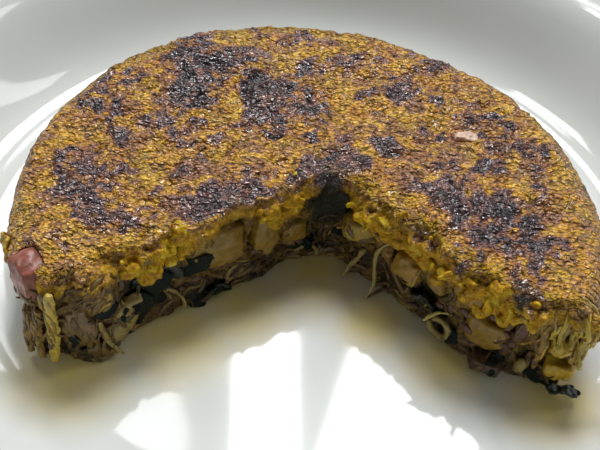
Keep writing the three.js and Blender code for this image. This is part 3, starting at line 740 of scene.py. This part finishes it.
def build_omelette(material):
    obj = remeshed_copy("omelette", "omelette_baked", CRUST_VOXEL, material)
    mesh = obj.data
    points = softened(mesh, 7)
    normal = normals(mesh)
    index, front = beside_cut(points)
    along = PATH_ALONG[index]
    height = points[:, 2]
    base = smooth_step(1.2, 0.2, height) * (normal[:, 2] < -0.5)
    top = smooth_step(0.45, 0.8, normal[:, 2]) * smooth_step(22, 26, height)
    at_cut = within(-94, 90, along)
    near_cut = smooth_step(-5.5, -2.5, front) * at_cut
    cut = near_cut * (1 - top)
    side = (1 - top) * (1 - cut)

    ragged = warped(warped(points, 7, 2.2, 51), 2.6, 1.0, 91)
    broken = layered_noise(points, 2.6, 2, 71)
    char = smooth_step(0.36, 0.88, patch_field(ragged, CHAR_PATCHES) + 0.42 * broken)
    gold = patch_field(ragged, GOLD_PATCHES)
    char *= 1 - 0.9 * smooth_step(0.35, 0.8, gold)
    folds = fold_field(warped(points, 5, 1.2, 131))
    grain = np.minimum(crack_distance(warped(points, 4, 1.0, 31), 2.3, 11), 0.8) / 0.8
    swells = billows(warped(points, 9, 3.0, 41), 6.5, 3, 7)
    shaded_crease = smooth_step(0.34, 0.1, swells)
    edge = np.hypot(points[:, 0], points[:, 1])
    inner = smooth_step(RADIUS - 8, RADIUS - 16, edge)
    wrinkles = 1 - abs(smooth_noise(warped(points * [0.6, 1.2, 1], 8, 2.5, 57), 2.6, 17))
    lumps = billows(warped(points, 7, 3.0, 141), 6, 3, 3)

    on_cut = 1.9 * lumps - 1.1 + 0.35 * grain
    on_top = ((1.1 + 1.4 * inner) * swells + 0.15 * grain
              + char * (1.1 * wrinkles + 0.35 * grain - 0.5)
              - 0.4 * gold - 0.7 - 0.8 * inner - 1.5 * folds)
    on_side = 0.55 * swells + 0.35 * grain + 0.35 * wrinkles - 0.75
    rise = cut * on_cut + top * on_top + side * on_side
    points = points + normal * (rise * (1 - base))[:, None]
    lip = smooth_step(-7, -1, front) * at_cut * smooth_step(21, 27, height)
    rags = 1.5 * layered_noise(points * [1, 1, 0.4], 5.5, 3, 83)
    start, end, distance = DRAWN_BACK
    rags -= distance * within(start, end, along)
    points[:, :2] += (lip * rags)[:, None] * PATH_NORMAL[index]
    points[:, 2] = np.clip(points[:, 2], 0, THICKNESS + HIGHEST_BUMP)
    set_points(mesh, points)

    # Painted shade in the crust's creases and along its folds, and in the cracks of the cut and
    # the sides
    pit = top * (0.7 * shaded_crease + 1.2 * folds * (1 - gold)) + 0.8 * (cut + side) * (1 - grain)
    uneven = 2.0 * np.stack([layered_noise(points, 4, 2, seed) for seed in (151, 161)])
    # Dark places of the cut, partly painted shadow; where they reach the top they become char
    dark = dark_and_shadow_field(along + uneven[0], height + uneven[1])
    burnt_lip = dark * smooth_step(27, 30, height) * smooth_step(-6.5, -3, front)
    char = np.maximum(char * (1 - cut), burnt_lip)
    pale_edge = 0.7 * top * smooth_step(RADIUS - 11, RADIUS - 3, edge) * (1 - char)
    pale_lip = top * at_cut * smooth_step(-4.5, -1.5, front) * (1 - 0.8 * char)
    pale_lip *= smooth_step(-0.35, 0.25, layered_noise(points, 6, 2, 181))
    pale_side = side * smooth_step(THICKNESS - 3, THICKNESS - 12, height)
    set_attributes(mesh, {
        "char": char * smooth_step(20, 27, height),
        "gold": gold,
        "pit": pit,
        "cut": cut * smooth_step(THICKNESS - 0.5, THICKNESS - 4, height),
        "side": np.maximum(pale_side, np.maximum(pale_edge, pale_lip)),
        "low": smooth_step(20, 3, height),
        "dark": dark,
        "curd": curd_field(along, height),
    })
    flatten_base(mesh)
    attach(obj, "root")
    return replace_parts(obj, "omelette")


# The loose pieces of filling: the darker and the lighter shade of each slot

PIECE_LOOKS = {
    "potato": ((0.19, 0.105, 0.014), (0.33, 0.20, 0.023)),
    "potato_yellow": ((0.25, 0.135, 0.016), (0.40, 0.235, 0.026)),
    "ham": ((0.20, 0.055, 0.035), (0.36, 0.13, 0.085)),
    "ham_browned": ((0.075, 0.03, 0.02), (0.16, 0.07, 0.045)),
    "kraut": ((0.24, 0.18, 0.05), (0.38, 0.29, 0.09)),
    "kraut_browned": ((0.20, 0.115, 0.03), (0.34, 0.21, 0.055)),
    "egg": ((0.36, 0.20, 0.012), (0.58, 0.39, 0.04)),
    "leaf": ((0.005, 0.010, 0.007), (0.015, 0.026, 0.018)),
    "onion": ((0.44, 0.23, 0.15), (0.80, 0.58, 0.43)),
}

# A piece whose look differs from that of its slot
OTHER_LOOKS = {
    "potato_right_apex": ((0.30, 0.19, 0.03), (0.46, 0.30, 0.045)),
    "kraut_right_edge": ((0.34, 0.27, 0.07), (0.56, 0.46, 0.14)),
    "kraut_right_tip": ((0.34, 0.27, 0.07), (0.56, 0.46, 0.14)),
    "kraut_right_outer": ((0.30, 0.24, 0.06), (0.50, 0.41, 0.12)),
    "ham_right_base": ((0.05, 0.028, 0.018), (0.11, 0.06, 0.038)),
    "potato_left_end": ((0.10, 0.055, 0.025), (0.27, 0.165, 0.055)),
    "egg_strip_left": ((0.42, 0.30, 0.03), (0.60, 0.46, 0.07)),
    "ham_left_end": ((0.16, 0.06, 0.035), (0.45, 0.14, 0.095)),
}

# A piece that has sunk down, and what share of its height is left
FLATTENED = {"onion_on_crust": 0.65}


def detailed_piece(node, slot, material):
    low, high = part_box(node)
    smallest = min(high - low) / MM
    voxel = min(max(smallest / 14, 0.25), 0.5)
    piece = remeshed_copy(node, node + "_cooked", voxel, material)
    mesh = piece.data
    points = softened(mesh, 8)
    slender = smallest < 3
    size = min(smallest, 10)
    depth = {"egg": 0.09, "onion": 0.2}.get(slot, 0.16 if slender else 0.055) * size
    height = depth * layered_noise(points, size * (0.9 if slender else 0.45), 3, len(node))
    points = points + normals(mesh) * height[:, None]
    base = points[:, 2].min()
    points[:, 2] = base + FLATTENED.get(node, 1) * (points[:, 2] - base)
    set_points(mesh, points)
    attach(piece, "root")
    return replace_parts(piece, node)


def build_filling():
    materials = {slot: soft_material(slot + "_cooked", *shades)
                 for slot, shades in PIECE_LOOKS.items()}
    for row in frame["record"]["subparts"]:
        slot = row["material_slot"]
        if slot in materials:
            node, material = row["node"], materials[slot]
            if node in OTHER_LOOKS:
                material = soft_material(node + "_look", *OTHER_LOOKS[node])
            detailed_piece(node, slot, material)


# Small things on the cut: egg curds, shreds of kraut, and bits of leaf and ham

# Stretches of the cut in millimetres from the apex, then the lowest and highest places of the
# shreds there, how many there are, and how steeply they lie in degrees
SHRED_STRETCHES = [
    (-104, -88, 2, 25, 46, 86), (-94, -78, 2, 27, 20, 84), (-80, -60, 1.5, 29, 40, 70),
    (-62, -38, 1, 20, 24, 25), (-40, -14, 1, 10, 24, 10), (-24, 16, 1, 13, 34, 15),
    (-16, 12, 1, 16, 26, 35), (10, 38, 1, 22, 26, 75), (10, 60, 1, 7, 26, 15),
    (36, 62, 1, 14, 22, 20), (60, 86, 1.5, 26, 34, 78),
]

# How far in front of the knife's path a ray starts towards the wall, and how far it reaches
RAY_START = 9
RAY_REACH = 25


class Wall:
    """The face of the cut with the pieces in it, for laying small things on it."""

    def __init__(self, objects):
        vertices, faces = [], []
        self.owner = []
        for obj in objects:
            first = len(vertices)
            vertices += [v.co.copy() for v in obj.data.vertices]
            faces += [[first + i for i in p.vertices] for p in obj.data.polygons]
            self.owner += [obj.name] * len(obj.data.polygons)
        self.tree = BVHTree.FromPolygons(vertices, faces)

    def hit(self, start, direction, reach):
        """Where a ray meets the pieces, or None, and the name of the piece there."""
        start = Vector(to_frame(np.array(start)))
        place, _, face, _ = self.tree.ray_cast(start, Vector(direction), reach * MM)
        if place is None:
            return None, ""
        return to_omelette(np.array(place)), self.owner[face]

    def point(self, along, height):
        """The wall's point at a distance along the cut and a height, the direction that it
        faces, and the name of the piece there."""
        start, _, facing = on_path(along, RAY_START)
        place, name = self.hit([*start, height], (*-facing, 0), RAY_REACH)
        if place is None:
            place = np.array([*(start - RAY_START * facing), height])
        return place, np.array([*facing, 0.25]), name

    def top(self, along, out):
        """The crust's point above a place beside the cut."""
        return self.hit([*on_path(along, out)[0], THICKNESS + 8], (0, 0, -1), 14)[0]


def add_tube(vertices, faces, middle, facing, width, thickness, sides=7):
    """Adds a closed tube of oval section along a line of points, tapered at both ends, to
    two lists, and returns how many points it has."""
    forward = unit(np.gradient(middle, axis=0))
    across = unit(np.cross(forward, facing))
    outward = np.cross(across, forward)
    share = np.linspace(0, 1, len(middle))
    taper = np.sqrt(np.sin(np.pi * (0.04 + 0.92 * share)))[:, None, None]
    angle = np.arange(sides) * 2 * np.pi / sides
    circle = np.stack([np.cos(angle), np.sin(angle)], axis=1)
    rings = middle[:, None] + taper * (
        across[:, None] * circle[None, :, :1] * width / 2
        + outward[:, None] * circle[None, :, 1:] * thickness / 2)
    first, count = len(vertices), len(middle)
    vertices += list(rings.reshape(-1, 3))
    faces.append(tuple(first + i for i in reversed(range(sides))))
    faces.append(tuple(first + (count - 1) * sides + i for i in range(sides)))
    for ring in range(count - 1):
        for i in range(sides):
            j = (i + 1) % sides
            low, high = first + ring * sides, first + (ring + 1) * sides
            faces.append((low + i, low + j, high + j, high + i))
    return count * sides


def on_plate(vertices):
    """The points in the frame, none of them lower than the plate."""
    points = np.array(vertices)
    points[:, 2] = np.maximum(points[:, 2], ABOVE_PLATE)
    return to_frame(points)


SHRED_STEPS = 11


def shred_line(wall, random, along, height, length, lean, lift):
    """A wavy line of points that hugs the wall, and the direction that it faces."""
    heading = math.radians(lean + random.normal(0, 24)) + math.pi * random.integers(2)
    turning = random.normal(0, 0.09, 3)
    middle, facing = [], []
    for share in np.linspace(0, 1, SHRED_STEPS):
        heading += turning[0] + turning[1] * math.sin(5 * share) + turning[2] * math.cos(9 * share)
        along += length / SHRED_STEPS * math.cos(heading)
        height = min(max(height + length / SHRED_STEPS * math.sin(heading), 0.8), THICKNESS - 4)
        place, out, _ = wall.point(along, height)
        middle.append(place + out * lift * max(share - 0.6, 0) ** 2)
        facing.append(out)
    middle, facing = np.array(middle), np.array(facing)
    for _ in range(3):
        middle[1:-1] = (middle[:-2] + 2 * middle[1:-1] + middle[2:]) / 4
        facing[1:-1] = (facing[:-2] + 2 * facing[1:-1] + facing[2:]) / 4
    return middle, facing


# Where fine strands hang down the front: leftmost and rightmost place, lowest and highest
# place, how many there are, and how pale they are
HANGING_STRANDS = [(-74.5, -67, 2, 26, 30, 0.75), (-59, -50, 1, 14, 12, 0.45),
                   (-66, -61, 8, 30, 6, 1.1), (61, 78, 10, 33, 40, 1.35)]


def hanging_strand(wall, random, x, low, high):
    """A thin line of points down the front of whatever stands there."""
    middle = []
    sway = random.normal(0, 0.5, 2)
    for share in np.linspace(0, 1, 9):
        shift = sway[0] * math.sin(4 * share) + 3 * sway[1] * share
        start = (x + shift, -62.0, high + (low - high) * share)
        place, _ = wall.hit(start, (0, 1, 0), 40)
        if place is not None:
            middle.append(place)
    return np.array(middle)


def build_shreds(wall, material):
    random = np.random.default_rng(5)
    vertices, faces, shade = [], [], []
    for left, right, low, high, strands, pale in HANGING_STRANDS:
        for _ in range(strands):
            top = random.uniform(0.4 * low + 0.6 * high, high)
            middle = hanging_strand(wall, random, random.uniform(left, right),
                                    max(top - random.uniform(6, 16), low), top)
            if len(middle) < 5 or abs(np.diff(middle[:, 1])).max() > 3:
                continue
            facing = np.tile([0, -1, 0.2], (len(middle), 1))
            count = add_tube(vertices, faces, middle, facing, random.uniform(0.7, 1.5), 0.9)
            shade += [pale * random.uniform(0.5, 1)] * count
    for start, end, low, high, strands, lean in SHRED_STRETCHES:
        for _ in range(strands):
            along, height = random.uniform(start, end), random.uniform(low, high)
            name = wall.point(along, height)[2]
            bare = name.startswith(("potato", "leaf", "ham", "egg_strip"))
            if bare and name != "potato_left_end_cooked":
                continue
            width = random.uniform(0.8, 2.4)
            lift = 6 if random.random() < 0.08 and along < 50 else 0
            middle, facing = shred_line(wall, random, along, height, random.uniform(5, 12),
                                        lean, lift)
            count = add_tube(vertices, faces, middle - 0.15 * facing, facing, width,
                             random.uniform(0.8, 1.4))
            # Shreds in the dark places are darkened, partly painted shadow
            dark = dark_and_shadow_field(np.array([along]), np.array([height]))[0]
            shade += [random.random() * (1 - 0.8 * dark)] * count
    points = warped(np.array(vertices), 1.6, 0.16, 3)
    shreds = new_object("kraut_shreds", on_plate(points), faces, material)
    set_attributes(shreds.data, {"shade": np.array(shade)})
    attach(shreds, "root")


# Leaves on the cut: the place along it, height, length, width and lean in degrees
LEAVES = [
    (-62, 18, 12, 7, 10), (-54, 15, 13, 8, 65), (-49, 20, 10, 7, -15), (-46, 13, 12, 7, 40),
    (-58, 11, 9, 6, -25), (-66, 20, 9, 5, 15), (-52, 10, 9, 6, 5), (-38, 3, 9, 4, 0),
    (-31, 2.6, 7, 3.5, 10), (39, 6, 10, 5, 25), (46, 6, 9, 5, -20),
    (-2, 5, 8, 5, 10), (3, 13, 9, 6, 75), (83, 1.5, 10, 4, 0), (74, 2, 6, 3, 0),
    (-82, 6, 7, 4, 30), (66, 7, 6, 4, 70),
]


def build_leaves(wall, material):
    """Dark wilted leaves: thin wavy ribbons that hug the wall."""
    random = np.random.default_rng(8)
    vertices, faces = [], []
    for along, height, length, width, lean in LEAVES:
        middle, facing = shred_line(wall, random, along, height, length, lean, 0)
        add_tube(vertices, faces, middle + 0.25 * facing, facing, width, 1.1, 14)
    points = warped(np.array(vertices), 4, 0.8, 33, 3)
    leaves = new_object("wilted_leaves", on_plate(points), faces, material)
    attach(leaves, "root")


def ball(subdivisions):
    """The corners and faces of a ball of radius 1."""
    form = bmesh.new()
    bmesh.ops.create_icosphere(form, subdivisions=subdivisions, radius=1)
    corners = np.array([v.co[:] for v in form.verts])
    faces = [[v.index for v in face.verts] for face in form.faces]
    form.free()
    return corners, faces


def build_curds(wall, material):
    """Soft ragged egg that hangs from under the crust's edge, fused from short chains."""
    random = np.random.default_rng(17)
    corners, ball_faces = ball(1)
    vertices, faces = [], []
    for start, end, large_share, drop in CURD_STRETCHES:
        for along in np.arange(start, end, 0.6):
            large = random.random() < large_share
            radius = random.uniform(1.6, 2.6) if large else random.uniform(0.6, 1.2)
            height = THICKNESS - 1.2 - radius - drop * random.random() ** 1.4
            place, out, _ = wall.point(along + random.normal(0, 1), height)
            spilt = wall.top(along, random.uniform(-3.6, -0.3))
            if random.random() < 0.1 and not large and spilt is not None:
                place = spilt
            tangent = on_path(along, 0)[1]
            way = np.array([*(tangent * random.normal(0, 0.8)), random.normal(-0.5, 0.6)])
            way += out * random.uniform(-0.15, 0.25)
            way = unit(way)
            bend_way = random.normal(0, 0.2, 3)
            at = place - 0.6 * radius * out
            for _ in range(3 if large else random.integers(4, 10)):
                at = at + way * radius * 0.6
                at[2] = min(at[2], THICKNESS + 1.2 - 0.7 * radius)
                way = unit(way + bend_way)
                faces += [[len(vertices) + i for i in face] for face in ball_faces]
                vertices += list(at + corners * radius * random.uniform(0.8, 1.15))
    fused = new_object("egg_curds", to_frame(np.array(vertices)), faces, material)
    mesh = remeshed(fused, CURD_VOXEL)
    points = softened(mesh, 2)
    ragged = warped(points * [1, 1, 0.55], 3, 0.8, 61)
    rough = 0.7 * layered_noise(ragged, 3.6, 2, 5) + 0.5 * billows(ragged, 3.0, 1, 9) - 0.3
    set_points(mesh, points + normals(mesh) * rough[:, None])
    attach(fused, "root")


def build_bits(name, wall, material, seed, sizes, places):
    """Small uneven bits pressed into the wall. Each place is a stretch along the cut, the
    lowest and highest bit there, and how many there are."""
    random = np.random.default_rng(seed)
    corners, ball_faces = ball(2)
    vertices, faces = [], []
    for start, end, low, high, count in places:
        for _ in range(count):
            place, out, _ = wall.point(random.uniform(start, end), random.uniform(low, high))
            size = random.uniform(*sizes) / 2
            turns = np.stack([out, random.normal(0, 1, 3), random.normal(0, 1, 3)]).T
            uneven = layered_noise(corners + 9 * random.random(), 0.9, 2, seed)[:, None]
            form = corners * (1 + 0.3 * uneven)
            form = form * [0.35, random.uniform(0.6, 1), random.uniform(0.8, 1.5)] * size
            faces += [[len(vertices) + i for i in face] for face in ball_faces]
            vertices += list(place + form @ np.linalg.qr(turns)[0].T)
    bits = new_object(name, on_plate(vertices), faces, material)
    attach(bits, "root")


def curd_material():
    look = Look("egg_curd", IOR=1.42, Roughness=0.36, Specular_IOR_Level=0.3,
                Subsurface_Weight=0.2, Subsurface_Scale=0.0015)
    tone = look.total(-0.55, (look.noise(5, 3), 1.1), (look.noise(1.2, 3), 0.9))
    color = look.ramp(tone, (0.12, (0.20, 0.085, 0.006)), (0.34, (0.44, 0.215, 0.005)),
                      (0.55, (0.62, 0.41, 0.012)), (0.8, (0.78, 0.62, 0.09)))
    relief = look.bump(look.noise(1.8, 3, 0.7, 0.8, (1, 1, 0.5)), 0.9, 0.85)
    relief = look.bump(look.noise(0.7, 3), 0.3, 0.7, relief)
    return look.finish(Base_Color=color, Normal=relief)


def shred_material():
    look = Look("kraut_shred", IOR=1.42, Roughness=0.3, Subsurface_Weight=0.15,
                Subsurface_Scale=0.0015)
    tone = look.total(-0.2, (look.attribute("shade"), 0.75), (look.noise(2, 3), 0.7))
    color = look.ramp(tone, (0.1, (0.05, 0.026, 0.012)), (0.35, (0.13, 0.075, 0.022)),
                      (0.6, (0.20, 0.125, 0.033)), (0.8, (0.34, 0.22, 0.045)),
                      (1.0, (0.60, 0.42, 0.065)))
    return look.finish(Base_Color=color, Normal=look.bump(look.noise(0.8, 3), 0.2, 0.7))


def build_small_things():
    shown = [obj for obj in bpy.data.objects
             if obj.name == "omelette_baked" or obj.name.endswith("_cooked")]
    wall = Wall(shown)
    leaf = soft_material("leaf_bit", (0.003, 0.006, 0.005), (0.012, 0.020, 0.013), 2.0, 0.5, 0.8,
                         wet=0.0, shine=0.2)
    brown = soft_material("brown_bit", (0.06, 0.028, 0.02), (0.14, 0.065, 0.035))
    build_leaves(wall, leaf)
    build_bits("leaf_bits", wall, leaf, 3, (1.2, 3.2),
               [(-68, -42, 8, 21, 10), (35, 49, 4, 14, 6), (78, 90, 0.5, 3, 4),
                (-90, 90, 1, 12, 20)])
    build_bits("brown_bits", wall, brown, 7, (1.2, 3.4),
               [(-92, 90, 0.5, 16, 36), (56, 70, 8, 20, 5)])
    build_shreds(wall, shred_material())
    build_curds(wall, curd_material())


# Camera, light and floor

CAMERA_LENS = 45.0
CAMERA_TARGET = Vector((-0.29, -22.3, 25)) * MM
CAMERA_DISTANCE = 224.8 * MM
CAMERA_ELEVATION = math.radians(45)
CAMERA_ROLL = math.radians(3)


def add_camera():
    data = bpy.data.cameras.new("camera")
    data.lens = CAMERA_LENS
    data.sensor_width = 36
    data.clip_start = 0.01
    camera = bpy.data.objects.new("camera", data)
    bpy.context.scene.collection.objects.link(camera)
    back = Vector((0, -math.cos(CAMERA_ELEVATION), math.sin(CAMERA_ELEVATION)))
    level = Vector((1, 0, 0))
    up = back.cross(level)
    right = level * math.cos(CAMERA_ROLL) + up * math.sin(CAMERA_ROLL)
    rolled_up = up * math.cos(CAMERA_ROLL) - level * math.sin(CAMERA_ROLL)
    turn = Matrix((right, rolled_up, back)).transposed().to_4x4()
    camera.matrix_world = Matrix.Translation(CAMERA_TARGET + back * CAMERA_DISTANCE) @ turn
    bpy.context.scene.camera = camera


# Soft panels behind and beside the plate: the azimuths and elevations in degrees that each
# one fills, seen from the omelette, and its radiance
WINDOWS = [
    ("pane_left", (-10, 1.2), (50, 72), 27),
    ("pane_right", (7, 31), (49, 72), 18.5),
    ("pane_far_left", (-29, -18), (56.5, 64), 8),
    ("pane_side_left", (-45, -30), (53, 64), 14),
    ("pane_low_left", (-29, -17), (39, 47), 8),
    ("pane_low_middle", (-12, 8), (35, 42.5), 8),
    ("pane_side_right", (60, 71), (27, 52), 5.5),
]
WINDOW_DISTANCE = 1.5
WINDOW_TINT = (0.96, 0.98, 1.0)
ROOM_TINT = (0.92, 0.97, 1.0, 1)
ROOM_STRENGTH = 0.12
FLOOR_HALF = 2.5


def add_window(name, azimuths, elevations, brightness):
    azimuth, elevation = (math.radians(sum(span) / 2) for span in (azimuths, elevations))
    width = 2 * WINDOW_DISTANCE * math.cos(elevation) * math.tan(
        math.radians(azimuths[1] - azimuths[0]) / 2)
    height = 2 * WINDOW_DISTANCE * math.tan(math.radians(elevations[1] - elevations[0]) / 2)
    data = bpy.data.lights.new(name, "AREA")
    data.shape = "RECTANGLE"
    data.size = width
    data.size_y = height
    data.color = WINDOW_TINT
    data.energy = brightness * math.pi * width * height
    light = bpy.data.objects.new(name, data)
    bpy.context.scene.collection.objects.link(light)
    towards = Vector((math.sin(azimuth) * math.cos(elevation),
                      math.cos(azimuth) * math.cos(elevation), math.sin(elevation)))
    light.location = Vector(ORIGIN) * MM + towards * WINDOW_DISTANCE
    light.rotation_mode = "QUATERNION"
    light.rotation_quaternion = towards.to_track_quat("Z", "Y")


def add_stage():
    look = Look("pale_floor", Roughness=0.8)
    tint = look.ramp(look.noise(300, 2), (0.3, (0.50, 0.50, 0.50)), (0.7, (0.56, 0.56, 0.55)))
    floor_material = look.finish(Base_Color=tint)
    corners = [(x * FLOOR_HALF, y * FLOOR_HALF, 0)
               for x, y in ((-1, -1), (1, -1), (1, 1), (-1, 1))]
    floor = new_object("floor", corners, [(0, 1, 2, 3)], floor_material)
    world = bpy.data.worlds.new("room")
    world.use_nodes = True
    background = world.node_tree.nodes["Background"]
    background.inputs["Color"].default_value = ROOM_TINT
    background.inputs["Strength"].default_value = ROOM_STRENGTH
    bpy.context.scene.world = world
    for window in WINDOWS:
        add_window(*window)
    bpy.context.scene.view_settings.view_transform = "Standard"


add_camera()
add_stage()
turned_plate(glaze_material())
build_omelette(crust_material())
build_filling()
build_small_things()
